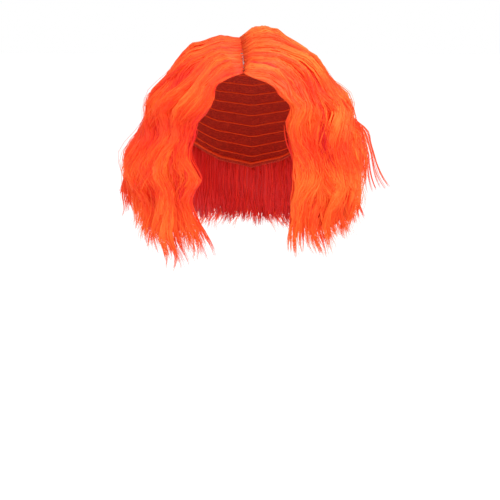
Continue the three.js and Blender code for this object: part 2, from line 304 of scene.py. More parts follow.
# A smooth curve through points given as pairs
def curveThrough(points, at):
    x, y = np.array(points).T
    slopes = np.gradient(y, x)
    low = np.clip(np.searchsorted(x, at) - 1, 0, len(x) - 2)
    width = x[low + 1] - x[low]
    t = np.clip((at - x[low]) / width, 0, 1)
    eased = lerp(y[low], y[low + 1], t * t * (3 - 2 * t))
    return eased + width * t * (1 - t) * ((1 - t) * slopes[low] - t * slopes[low + 1])


# Height of the rounded top over a point of the plan, with x towards the side
def domeHeight(side, x, y):
    acrossShare = (x / hairHalfWidth) ** 2
    alongShare = (y / np.where(y < 0, frontReach, backReach)) ** 2
    reach = np.minimum(acrossShare + alongShare, 1)
    sideways = acrossShare / (acrossShare + alongShare)
    drop = lerp(np.where(y < 0, form.frontDrop, form.backDrop), form.sideDrop, sideways)
    fullness = lerp(np.where(y < 0, form.frontFullness, form.backFullness), form.sideFullness, sideways)
    fall = (form.crownHeight + form.headRise + drop) * (1 - (1 - reach) ** (1 / fullness))
    roll = side["roll"] * np.exp(-((x - form.rollOut) / form.rollWidth) ** 2 - (y / form.rollLength) ** 2)
    nearParting = 1 - smooth(form.stripRearY, form.stripRearY + 2 * form.partingWidth, y)
    groove = form.partingDepth * nearParting * np.exp(-((x / form.partingWidth) ** 2))
    return form.crownHeight + roll - groove - fall


# Where the hair drops off its widest outline, in plan
def dropAt(across):
    turn = lerp(faceTurn, np.pi, across)
    reach = np.where(np.cos(turn) > 0, frontReach, backReach)
    return np.stack([hairHalfWidth * np.sin(turn), -reach * np.cos(turn)], -1)


# Where it leaves the cap: along the parting, whose half width is given, then over the crown
def rootAt(across, partingHalf):
    alongStrip = lerp(hairlineY, form.stripRearY, share(0, form.crownRowShare, across))
    half = partingHalf + 0 * across
    stripRoot = np.stack([half, alongStrip], -1)
    stripRear = np.stack([half, np.full_like(half, form.stripRearY)], -1)
    rowOut = form.crownRowHalfWidth / hairHalfWidth
    rowStart = lerp(stripRear, dropAt(np.array(form.crownRowShare)), rowOut)
    rowEnd = np.array([0, form.stripRearY + form.crownRowGap])
    rowRoot = lerp(rowStart, rowEnd, share(form.crownRowShare, 1, across)[..., None])
    return np.where((across <= form.crownRowShare)[..., None], stripRoot, rowRoot)


# The point of the cap, or below it of a tube as wide, that lies inwards of a point of the hair
def seatUnder(point):
    up = np.maximum(point[..., 2] - centreZ, 0)
    size = np.sqrt((point[..., 0] / (form.headHalfWidth + capOuter)) ** 2
                   + (point[..., 1] / (form.headHalfLength + capOuter)) ** 2
                   + (up / (form.headRise + capOuter)) ** 2)
    z = np.where(up > 0, centreZ + up / size, point[..., 2])
    return np.stack([point[..., 0] / size, point[..., 1] / size, z], -1)


# The outer form at a share across and along, before any waves
def outerAt(side, across, along, partingHalf):
    rounded = np.sin(share(0, form.dropShare, along) * np.pi / 2)[..., None]
    hanging = share(form.dropShare, 1, along)
    plan = lerp(rootAt(across, partingHalf), dropAt(across), rounded)
    x, y = plan[..., 0], plan[..., 1]
    tip = -form.hairLength * np.interp(across, tipDrops["across"], tipDrops[side["name"]])
    z = lerp(domeHeight(side, x, y), tip, hanging)
    x = x + side["flare"] * np.sin(across * np.pi) * hanging
    beside = 1 - smooth(0, form.neckTuckReach, across)
    x = x - form.neckTuck * beside * smooth(form.neckTuckStart, 1, hanging)
    outer = np.stack([x, y, z], -1)
    seat = seatUnder(outer)
    away = unit(np.stack([seat[..., 0], seat[..., 1], np.maximum(seat[..., 2] - centreZ, 0)], -1))
    lifted = seat + away * form.rootThickness
    return np.where(dot(outer - seat, away) < form.rootThickness, lifted, outer)


def thicknessAt(outer):
    toSeat = np.linalg.norm(outer - seatUnder(outer), axis=-1)
    free = smooth(-form.leavingSpan, form.leavingSpan, centreZ - outer[..., 2])
    return lerp(toSeat, np.minimum(toSeat, form.hangingThickness), free)


# The hair's length from the root to each share along, on a grid of shares across
alongGrid = np.linspace(0, 1, 241)
acrossGrid = np.linspace(0, 1, 61)


def lengthTable(side):
    across, along = np.meshgrid(acrossGrid, alongGrid, indexing="ij")
    points = outerAt(side, across, along, form.stripWidth / 2)
    steps = np.linalg.norm(np.diff(points, axis=1), axis=-1)
    return np.concatenate([np.zeros((len(acrossGrid), 1)), np.cumsum(steps, axis=1)], axis=1)


for side in sides:
    side["lengths"] = lengthTable(side)


def lengthAt(side, across, along):
    row = np.clip(across, 0, 1) * (len(acrossGrid) - 1)
    column = np.clip(along, 0, 1) * (len(alongGrid) - 1)
    low = np.minimum(row.astype(int), len(acrossGrid) - 2)
    left = np.minimum(column.astype(int), len(alongGrid) - 2)
    table = side["lengths"]
    nearer = lerp(table[low, left], table[low, left + 1], column - left)
    further = lerp(table[low + 1, left], table[low + 1, left + 1], column - left)
    return lerp(nearer, further, row - low)


# Shares along, a whole row of them from start to end for each strand, evenly spaced by length
def evenStations(side, across, start, end, count):
    rows = []
    for a, low, high in zip(across, start, end):
        lengths = lengthAt(side, np.full(len(alongGrid), a), alongGrid)
        first, last = np.interp([low, high], alongGrid, lengths)
        rows.append(np.interp(np.linspace(first, last, count), lengths, alongGrid))
    return np.array(rows)


# A point of the hair with its waves, the direction outwards there, and how near it is to a crest,
# from -1 to 1. The depth goes in from the outer form and lateral goes sideways. The sway and swell
# are gains on the waves, which with phase set a lock apart from the others.
def hairPoint(side, across, along, depth, lateral=0, sway=1, swell=1, phase=0, partingHalf=backingParting):
    step = 0.01
    outer = outerAt(side, across, along, partingHalf)
    inwards = unit(seatUnder(outer) - outer)
    flow = (outerAt(side, across, np.minimum(along + step, 1), partingHalf)
            - outerAt(side, across, np.maximum(along - step, 0), partingHalf))
    sideways = unit(np.cross(flow, inwards))
    thickness = thicknessAt(outer)
    ear = np.exp(-((across - earInset["middle"]) / earInset["reach"]) ** 2)
    inset = curveThrough(earInset[side["name"]], -mmPerMetre * outer[..., 2]) / mmPerMetre * ear
    down = np.minimum(depth + inset * (1 - share(0, thickness, depth)), thickness)
    strength = (1 - share(0, thickness, down)) * np.minimum(thickness / form.hangingThickness, 1)
    run = lengthAt(side, across, np.full_like(along, form.dropShare)) - lengthAt(side, across, along)
    turn = -2 * np.pi * run / form.waveLength + side["wavePhase"] + across * side["waveDrift"] + phase
    swayed = form.waveSway * strength * sway * smooth(0, form.waveFade, 1 - across) * np.sin(turn)
    swelled = form.waveSwell * strength * swell * np.cos(turn)
    point = outer + inwards * (down - swelled)[..., None] + sideways * (swayed + lateral)[..., None]
    lift = curveThrough(crownLift[side["name"]], mmPerMetre * point[..., 0]) / mmPerMetre
    point[..., 2] += lift * smooth(*crownLift["fade"], point[..., 2]) * (1 - share(0, thickness, down))
    beside = (1 - smooth(0, faceSwing["reach"], across)) * smooth(0, faceSwing["rootFade"], point[..., 0])
    swing = curveThrough(faceSwing[side["name"]], -mmPerMetre * point[..., 2]) / mmPerMetre
    point[..., 0] -= swing * beside
    mirror = np.array([side["sign"], 1, 1])
    return lean(point * mirror), -inwards * mirror, np.cos(turn)


# Moves points sideways with the leaning parting. The line between the sides leans more than the
# strip beneath it, half as much each way.
slitLean = 0.003


def lean(points):
    x, y = points[..., 0], points[..., 1]
    front = share(hairlineY, form.stripRearY, y)
    towardsCrown = np.where(y < form.stripRearY, front, share(backReach, form.stripRearY, y))
    shift = form.partingLean * towardsCrown + slitLean * (towardsCrown - 0.5)
    shift = shift * (1 - smooth(0, form.leanReach, np.abs(x)))
    return points - np.stack([shift, np.zeros_like(x), np.zeros_like(x)], -1)


# Meshes from arrays

bakeMap = "OFBake"


def meshObject(name, points, quads, triangles, uvs):
    mesh = bpy.data.meshes.new(name)
    corners = np.concatenate([quads.ravel(), triangles.ravel()]).astype(np.int32)
    starts = np.concatenate([np.arange(len(quads)) * 4, 4 * len(quads) + np.arange(len(triangles)) * 3])
    mesh.vertices.add(len(points))
    mesh.vertices.foreach_set("co", points.astype(np.float32).ravel())
    mesh.loops.add(len(corners))
    mesh.loops.foreach_set("vertex_index", corners)
    mesh.polygons.add(len(starts))
    mesh.polygons.foreach_set("loop_start", starts.astype(np.int32))
    mesh.update(calc_edges=True)
    layer = mesh.uv_layers.new(name=bakeMap)
    layer.uv.foreach_set("vector", uvs[corners].astype(np.float32).ravel())
    mesh.validate()
    mesh.shade_smooth()
    obj = bpy.data.objects.new(name, mesh)
    bpy.context.collection.objects.link(obj)
    return obj


# A tube through rings of points that go round each path, closed at both ends. The paths come as
# arrays of strand, station and corner.
def tubes(corners, uvs):
    strands, stations, around = corners.shape[:3]
    index = np.arange(strands * stations * around).reshape(strands, stations, around)
    near, far = index[:, :-1], index[:, 1:]
    quads = np.stack([near, np.roll(near, -1, 2), np.roll(far, -1, 2), far], -1).reshape(-1, 4)
    rootEnds = index[:, 0, ::-1]
    tipEnds = index[:, -1]
    return corners.reshape(-1, 3), quads, np.concatenate([rootEnds, tipEnds]), uvs.reshape(-1, 2)


# Three-sided strands: flat beneath and raised along the middle
def strandTubes(paths, outwards, widths, heights, tones, alongs):
    tangents = unit(np.gradient(paths, axis=1))
    sideways = unit(np.cross(tangents, outwards))
    raised = unit(np.cross(sideways, tangents))
    halfWidth = sideways * widths[..., None] / 2
    rise = raised * heights[..., None]
    corners = np.stack([paths - halfWidth - rise / 3, paths + rise * 2 / 3, paths + halfWidth - rise / 3], 2)
    laneHalf = 0.004
    lanes = tones[..., None] + laneHalf * np.array([-1, 0, 1])
    uvs = np.stack(np.broadcast_arrays(lanes, alongs[..., None]), -1)
    return tubes(corners, uvs)


def joined(parts):
    points, quads, triangles, uvs = [], [], [], []
    count = 0
    for part in parts:
        points.append(part[0])
        quads.append(part[1] + count)
        triangles.append(part[2] + count)
        uvs.append(part[3])
        count += len(part[0])
    return tuple(np.concatenate(group) for group in (points, quads, triangles, uvs))


# Six times the volume that a mesh encloses, more than 0 if its faces point outwards
def volumeOf(part):
    points, quads, triangles, _ = part
    faces = np.concatenate([quads[:, [0, 1, 2]], quads[:, [0, 2, 3]], triangles])
    a, b, c = (points[faces[:, i]] for i in range(3))
    return dot(a, np.cross(b, c)).sum()


def facingOut(part):
    if volumeOf(part) > 0:
        return part
    points, quads, triangles, uvs = part
    return points, quads[:, ::-1], triangles[:, ::-1], uvs


# A closed body between two grids of points of the same shape
def bodyBetween(outer, inner, uvs, innerUvs):
    rows, columns = outer.shape[:2]
    index = np.arange(rows * columns).reshape(rows, columns)
    under = index + rows * columns

    def patch(grid):
        return np.stack([grid[:-1, :-1], grid[1:, :-1], grid[1:, 1:], grid[:-1, 1:]], -1).reshape(-1, 4)

    edge = np.concatenate([index[0, :-1], index[:-1, -1], index[-1, :0:-1], index[:0:-1, 0]])
    beneath = edge + rows * columns
    rim = np.stack([edge, np.roll(edge, -1), np.roll(beneath, -1), beneath], -1)
    quads = np.concatenate([patch(index), patch(under)[:, ::-1], rim])
    points = np.concatenate([outer.reshape(-1, 3), inner.reshape(-1, 3)])
    allUvs = np.concatenate([uvs.reshape(-1, 2), innerUvs.reshape(-1, 2)])
    return facingOut((points, quads, np.empty((0, 3), int), allUvs))


def placesOf(obj):
    places = np.empty(len(obj.data.vertices) * 3)
    obj.data.vertices.foreach_get("co", places)
    return places.reshape(-1, 3)


# Moves a sheet's points to their places and thickens it outwards
def formWall(obj, places, thickness, even):
    obj.data.vertices.foreach_set("co", places.ravel())
    wall = obj.modifiers.new("wall", "SOLIDIFY")
    wall.thickness = thickness
    wall.offset = 1
    wall.use_even_offset = even
    bpy.ops.object.modifier_apply(modifier="wall")


# Finishes

def fibreFinish(name, settings):
    finish = Finish(name, {
        "Specular IOR Level": settings["shine"], "Emission Strength": settings["paintedGlowStrength"]})
    uv = finish.add("UVMap", {"uv_map": bakeMap}, {}, "UV")
    split = finish.tree.nodes.new("ShaderNodeSeparateXYZ")
    finish.fill(split, {"Vector": uv})
    tone = Wire(finish, split.outputs["X"])
    along = Wire(finish, split.outputs["Y"])

    def noiseOver(acrossScale, alongScale):
        stretched = finish.add("VectorMath", {"operation": "MULTIPLY"},
                               {0: uv, 1: (acrossScale, alongScale, 0)}, "Vector")
        return finish.add("TexNoise", {"noise_dimensions": "2D"},
                          {"Vector": stretched, "Scale": 1, "Detail": 3}, "Fac")

    streaks = noiseOver(settings["streaksAcross"], settings["streaksAlong"])
    patches = noiseOver(settings["patchesAcross"], settings["patchesAlong"])
    level = tone * settings["toneShare"] + settings["toneBase"]
    level = level + (streaks - 0.5) * settings["streakDepth"] + (patches - 0.5) * settings["patchDepth"]
    colour = finish.add("ValToRGB", {"stops": settings["stops"]}, {"Fac": level}, "Color")
    # Emission as a painted glow, with no lamp in it: it lifts the shade in creases to deep red, most for low
    # tones
    paintedGlow = finish.add("ValToRGB", {"stops": settings["paintedGlowStops"]}, {"Fac": level}, "Color")
    # Darker towards the roots: painted shade where the strands crowd against the cap
    paintedRootShade = finish.add("MapRange", {}, {
        "Value": along, "From Min": 0, "From Max": settings["rootReach"],
        "To Min": settings["paintedRootShade"], "To Max": 1}, "Result")
    shaded = finish.add("VectorMath", {"operation": "SCALE"}, {0: colour, "Scale": paintedRootShade}, "Vector")
    bump = finish.add("Bump", {}, {
        "Height": streaks, "Strength": settings["bump"], "Distance": settings["bumpDepth"]}, "Normal")
    rough = settings["roughness"] + (streaks - 0.5) * settings["roughSpread"]
    finish.drive(Base_Color=shaded, Emission_Color=paintedGlow, Roughness=rough, Normal=bump)
    return finish.material


fibreSettings = {
    "shine": 0.22,
    # A painted glow that lifts the hair's shade to red, standing in for light scattered through the fibres
    "paintedGlowStrength": 0.3,
    "paintedGlowStops": [(0.1, (1, 0.024, 0.01)), (0.45, (0.66, 0.02, 0.004))],
    "roughness": 0.42,
    "streaksAcross": 420,
    "streaksAlong": 7,
    "streakDepth": 0.24,
    "patchesAcross": 30,
    "patchesAlong": 4,
    "patchDepth": 0.2,
    "toneShare": 1,
    "toneBase": 0,
    "rootReach": 0.06,
    "paintedRootShade": 0.75,
    "bump": 0.5,
    "bumpDepth": 0.0004,
    "roughSpread": 0.2,
    "stops": [
        (0.0, (0.5, 0.012, 0.014)),
        (0.3, (0.76, 0.048, 0.014)),
        (0.6, (0.86, 0.094, 0.016)),
        (1.0, (0.92, 0.2, 0.028)),
    ],
}
backingSettings = {
    **fibreSettings,
    "shine": 0.08,
    "paintedGlowStrength": 0.16,
    "roughness": 0.7,
    "streaksAcross": 130,
    "streaksAlong": 5,
    "streakDepth": 0.5,
    "patchesAcross": 14,
    "toneShare": 0,
    "toneBase": 0.42,
    "bump": 0.8,
}
bandSettings = {
    **fibreSettings,
    "shine": 0.1,
    "paintedGlowStrength": 0.03,
    "roughness": 0.7,
    "streaksAcross": 90,
    "streaksAlong": 330,
    "streakDepth": 1.2,
    "patchDepth": 0,
    "paintedRootShade": 1,
}
# The under layer at the nape has darker, redder colours: painted shade of the hair's inside
underSettings = {
    **fibreSettings,
    "paintedGlowStrength": 0.13,
    "stops": [
        (0.0, (0.34, 0.006, 0.01)),
        (0.5, (0.66, 0.012, 0.014)),
        (1.0, (0.88, 0.04, 0.014)),
    ],
}


# Hair panels: a backing wall, then strands in locks over it

panelRows = [
    {"name": "front", "from": 0, "to": 0.24, "locks": 5, "strands": 800, "tone": -0.14},
    {"name": "side", "from": 0.24, "to": 0.56, "locks": 7, "strands": 1130, "tone": 0},
    {"name": "back", "from": 0.56, "to": 1, "locks": 9, "strands": 1100, "tone": 0},
]
# Backings take the two halves of the UV map, one for each face
faceUv = (0.01, 0.48)
innerUvShift = np.array([0.5, 0])
backingSizes = SimpleNamespace(
    columns=52,
    rows=38,
    faceGap=0.02,
    depth=0.006,
    groove=0.0005,
    deepest=0.5,
    ragged=0.6,
    hemLow=(0.7, 0.74),
    hemHigh=(0.78, 0.85),
)
# The layers of strands from the outside in: their depth, their share of a panel's strands, where
# they start and end along, the width of their locks, how much the locks' waves differ, their tone,
# which falls inwards as painted shade on the deeper hair, and whether they lie on the wall's inner face
layerRows = [
    {"depth": 0.0025, "share": 0.36, "starts": (0, 0.012), "ends": (0.92, 1), "fill": (0.5, 0.7),
     "spread": 1, "tone": 0.58, "inner": False},
    {"depth": 0.005, "share": 0.26, "starts": (0, 0.3), "ends": (0.92, 1), "fill": (0.6, 0.8),
     "spread": 0.6, "tone": 0.44, "inner": False},
    {"depth": 0.008, "share": 0.22, "starts": (0.05, 0.4), "ends": (0.9, 1), "fill": (0.75, 0.95),
     "spread": 0.2, "tone": 0.3, "inner": False},
    {"depth": 0, "share": 0.16, "starts": (0.42, 0.55), "ends": (0.86, 0.98), "fill": (0.7, 0.9),
     "spread": 1, "tone": 0.14, "inner": True},
]
# The strands of all layers. Pairs are ranges to draw from, or the shares between which something
# sets in.
strandSizes = SimpleNamespace(
    stations=22,
    innerStations=13,
    width=0.0013,
    height=0.0008,
    thickSpread=(0.7, 1.25),
    rootThin=0.6,
    rootThinEnd=0.1,
    taper=0.85,
    taperFrom=0.8,
    rootHalf=(-0.0008, 0.0005),
    frontSlit=0.0004,
    slitEnds=(0.06, 0.2),
    rearOverlap=0.0012,
    acrossLow=-0.012,
    lockPlace=(0.25, 0.75),
    lockRise=(-0.002, 0.002),
    lockDrift=0.014,
    driftStart=0.3,
    lockBulge=0.005,
    fullWall=0.02,
    subLocks=6,
    subReach=0.9,
    subJitter=(-0.15, 0.15),
    subFill=1.8,
    subBulge=0.001,
    strandRise=(-0.0006, 0.0006),
    deepest=0.5,
    innerSink=0.0006,
    innerRise=0.6,
    rootSpread=1.5,
    rootSpreadEnd=0.3,
    gather=0.35,
    gatherFrom=0.4,
    tipGather=0.7,
    tipGatherFrom=0.7,
    looseTips=0.8,
    subEnds=(-0.06, 0.02),
    strandEnds=(0, 0.03),
    pointedness=0.03,
    pointPower=1.5,
    looseLength=0.03,
    shortest=0.12,
    phaseSpread=0.75,
    phaseRun=0.8,
    subPhaseSpread=0.2,
    strandPhaseSpread=0.1,
    sway=2.1,
    swell=1.3,
    gainSpread=0.3,
    gainStart=0.6,
    gainReach=(0.15, 0.5),
    crimp=0.001,
    crimpLength=0.029,
    crimpStart=0.3,
    crimpTurn=9,
    looseCrimp=3,
    looseTurn=(0, 6),
    # painted highlight on the wave crests and painted shade in the troughs
    crestPaintedLight=0.17,
    lowerTone=0.2,
    lowerReach=(0.5, 0.8),
    lockTone=0.14,
    subTone=0.16,
    strandTone=0.13,
    flyawayShare=0.1,
    flyawayLift=0.008,
    liftSpread=(0.2, 1),
    liftReach=(0.1, 0.5),
    fallingShare=0.5,
    fallBack=0.8,
    fallReach=(0.6, 0.95),
    looseThin=0.45,
)
toneLimits = (0.02, 0.98)
# The main locks beside the face, laid over the others, and the dark creases between them, which are
# thin locks of low tone as painted shade: how much of the width they take, how far they rise, where
# they end, their tone, their strands, and their middles as pairs of shares along and across. A path
# that starts further down starts its lock there.
mainLayer = {"depth": 0.001, "startSpread": 0.02, "sway": 0.3, "inner": False}
mainColumns = ("half", "rise", "end", "tone", "strands", "path")
mainRows = {
    "left": [
        (0.03, 0.003, 0.98, 0.7, 110, [
            (0, 0), (0.1, 0.02), (0.19, 0.055), (0.24, 0.03), (0.36, 0), (0.52, 0), (0.63, 0.023),
            (0.76, 0), (1, 0.015)]),
        (0.028, 0.001, 0.93, 0.62, 80, [
            (0, 0.035), (0.1, 0.06), (0.19, 0.115), (0.25, 0.1), (0.32, 0.05), (0.46, 0.04), (0.58, 0.068),
            (0.7, 0.038), (0.8, 0.03), (1, 0.06)]),
        (0.02, 0.001, 0.9, 0.6, 80, [
            (0, 0.08), (0.1, 0.11), (0.21, 0.18), (0.32, 0.12), (0.46, 0.07), (0.58, 0.085), (0.7, 0.16),
            (0.81, 0.22), (1, 0.26)]),
        (0.028, 0.004, 0.91, 0.7, 110, [
            (0, 0.13), (0.1, 0.18), (0.22, 0.27), (0.31, 0.24), (0.44, 0.145), (0.58, 0.15), (0.68, 0.16),
            (0.82, 0.115), (1, 0.1)]),
        (0.03, 0.002, 0.88, 0.6, 90, [
            (0, 0.2), (0.1, 0.26), (0.22, 0.41), (0.32, 0.34), (0.43, 0.22), (0.58, 0.28), (0.72, 0.255),
            (1, 0.27)]),
        (0.008, 0.001, 0.3, 0.04, 24, [
            (0, 0.04), (0.08, 0.048), (0.18, 0.07), (0.25, 0.015), (0.3, 0.01)]),
        (0.014, 0.001, 0.68, 0.1, 30, [
            (0.26, 0.165), (0.36, 0.11), (0.44, 0.1), (0.58, 0.13), (0.7, 0.16)]),
    ],
    "right": [
        (0.022, 0.002, 0.97, 0.52, 90, [
            (0, 0.03), (0.1, 0.036), (0.2, 0.01), (0.3, 0.013), (0.38, 0.028), (0.5, 0.003), (0.7, 0),
            (0.8, 0.008), (1, 0.05)]),
        (0.028, 0.003, 1, 0.62, 110, [
            (0, 0.07), (0.12, 0.08), (0.26, 0.04), (0.36, 0.072), (0.5, 0.036), (0.61, 0.1), (0.74, 0.055),
            (0.84, 0.085), (1, 0.095)]),
        (0.028, 0.001, 0.95, 0.48, 80, [
            (0, 0.12), (0.12, 0.13), (0.25, 0.113), (0.34, 0.16), (0.45, 0.107), (0.58, 0.147),
            (0.69, 0.118), (0.8, 0.127), (1, 0.115)]),
        (0.032, 0.002, 0.94, 0.46, 100, [
            (0, 0.2), (0.18, 0.2), (0.32, 0.315), (0.43, 0.205), (0.57, 0.26), (0.75, 0.195), (1, 0.2)]),
        (0.015, 0, 0.96, 0.3, 50, [
            (0, 0.005), (0.12, 0.02), (0.22, 0), (0.36, 0.012), (0.44, -0.005), (0.8, -0.01), (1, 0)]),
        (0.007, 0.001, 0.25, 0.06, 20, [
            (0, 0.08), (0.09, 0.073), (0.17, 0.058), (0.25, 0.02)]),
        (0.01, 0.001, 0.72, 0.05, 24, [
            (0.42, 0.025), (0.52, 0.008), (0.64, 0.053), (0.74, 0.003)]),
        (0.011, 0.003, 0.74, 0.02, 24, [
            (0.6, -0.01), (0.67, 0.018), (0.76, 0)]),
    ],
}
# Loose locks: how wide they spread, how thick their strands are, how much they wave, and how far
# they stand out in mm by the share along
strayRows = [
    {"side": "left", "across": 0.46, "half": 0.03, "thick": 0.55, "sway": 0.8, "strands": 44, "away": [
        (0.28, 0), (0.35, 5), (0.4, 17), (0.44, 16), (0.52, 18), (0.62, 26), (0.73, 38), (0.83, 52)]},
    {"side": "left", "across": 0.36, "half": 0.03, "thick": 0.5, "sway": 1.6, "strands": 24, "away": [
        (0.22, 0), (0.4, 10), (0.55, 10), (0.7, 8)]},
    {"side": "left", "across": 0.44, "half": 0.06, "thick": 0.6, "sway": 1.6, "strands": 50, "away": [
        (0.5, 0), (0.7, 2), (0.85, 5), (1, 10)]},
    {"side": "right", "across": 0.44, "half": 0.05, "thick": 0.9, "sway": 1.2, "strands": 60, "away": [
        (0.45, 0), (0.6, 3), (0.72, 5), (0.8, 9), (0.88, 15)]},
    {"side": "right", "across": 0.36, "half": 0.08, "thick": 0.5, "sway": 1.2, "strands": 60, "away": [
        (0.5, 0), (0.7, 3), (0.85, 9), (1, 14)]},
    {"side": "right", "across": 0.36, "half": 0.03, "thick": 0.5, "sway": 1.6, "strands": 20, "away": [
        (0.2, 0), (0.35, 6), (0.6, 5)]},
]
# How much longer or shorter than their solids the tips are, as shares along, by the share across
tipTrims = {
    "left": [(0, 0), (0.05, 0), (0.1, -0.035), (0.15, -0.055), (0.3, -0.05), (0.45, -0.02), (0.6, 0)],
    "right": [(0, 0.03), (0.04, 0.01), (0.1, 0), (1, 0)],
}


# How much of its thickness the wall still has, as its inner face comes out towards the hem
def thinningAt(along):
    return lerp(1, form.hemShare, smooth(form.dropShare, form.wallEnd, along))


def innerDepth(side, across, along):
    return thicknessAt(outerAt(side, across, along, form.stripWidth / 2)) * thinningAt(along)


# How thick strands still are at a share down, and how far they have kept from their lock's middle
def taperAt(sizes, down):
    return 1 - sizes.taper * smooth(sizes.taperFrom, 1, down)


def gatherAt(sizes, down):
    return 1 - sizes.gather * smooth(sizes.gatherFrom, 1, down)


def chanceTones(sizes, shape, random):
    tones = np.clip(random.normal(*sizes.tone, shape[0]), *toneLimits)
    return np.broadcast_to(tones[:, None], shape)


def backingPart(side, panel, random):
    sizes = backingSizes
    columns = np.linspace(0, 1, sizes.columns + 1)
    pointed = np.arange(len(columns)) % 2 == 1
    low = random.uniform(*sizes.hemLow, len(columns))
    high = random.uniform(*sizes.hemHigh, len(columns))
    rows = np.linspace(0, 1, sizes.rows + 1)[:, None]
    hem = sizes.hemLow[0]
    along = rows * lerp(hem, np.where(pointed, high, low), smooth(sizes.ragged, 1, rows))
    near = panel["from"] + (sizes.faceGap if panel["from"] == 0 else 0)
    across = np.broadcast_to(lerp(near, panel["to"], columns), along.shape)
    thickness = thicknessAt(outerAt(side, across, along, form.stripWidth / 2))
    grooves = sizes.groove * random.uniform(-1, 1, len(columns))
    depth = np.minimum(sizes.depth + grooves, thickness * sizes.deepest)
    outer, _, _ = hairPoint(side, across, along, depth, sway=strandSizes.sway)
    inner, _, _ = hairPoint(side, across, along, innerDepth(side, across, along))
    uvs = np.stack([lerp(*faceUv, columns) + 0 * along, along], -1)
    return bodyBetween(outer, inner, uvs, uvs + innerUvShift)


# Locks for one layer, spread over the panel by chance
def chanceLocks(side, panel, layer, random):
    sizes = strandSizes
    pitch = (panel["to"] - panel["from"]) / panel["locks"]
    for index in range(panel["locks"]):
        middle = panel["from"] + pitch * (index + random.uniform(*sizes.lockPlace))
        trim = np.interp(middle, *np.array(tipTrims[side["name"]]).T)
        yield {
            "path": [(0, middle), (sizes.driftStart, middle),
                     (1, middle + random.uniform(-1, 1) * sizes.lockDrift)],
            "half": pitch * random.uniform(*layer["fill"]),
            "rise": random.uniform(*sizes.lockRise),
            "end": random.uniform(*layer["ends"]) + trim,
            "strands": int(panel["strands"] * layer["share"] / panel["locks"]),
            # A lock's tone adds its layer's painted shade, the painted light of its side, its panel's tone
            # and a chance spread
            "tone": (layer["tone"] + panel["tone"] + side["tone"]
                     + random.uniform(-1, 1) * sizes.lockTone),
            "phase": random.normal(0, sizes.phaseSpread * layer["spread"]),
            "phaseRun": random.normal(0, sizes.phaseRun * layer["spread"]),
            "sway": sizes.sway * (1 + random.uniform(-1, 1) * sizes.gainSpread),
        }


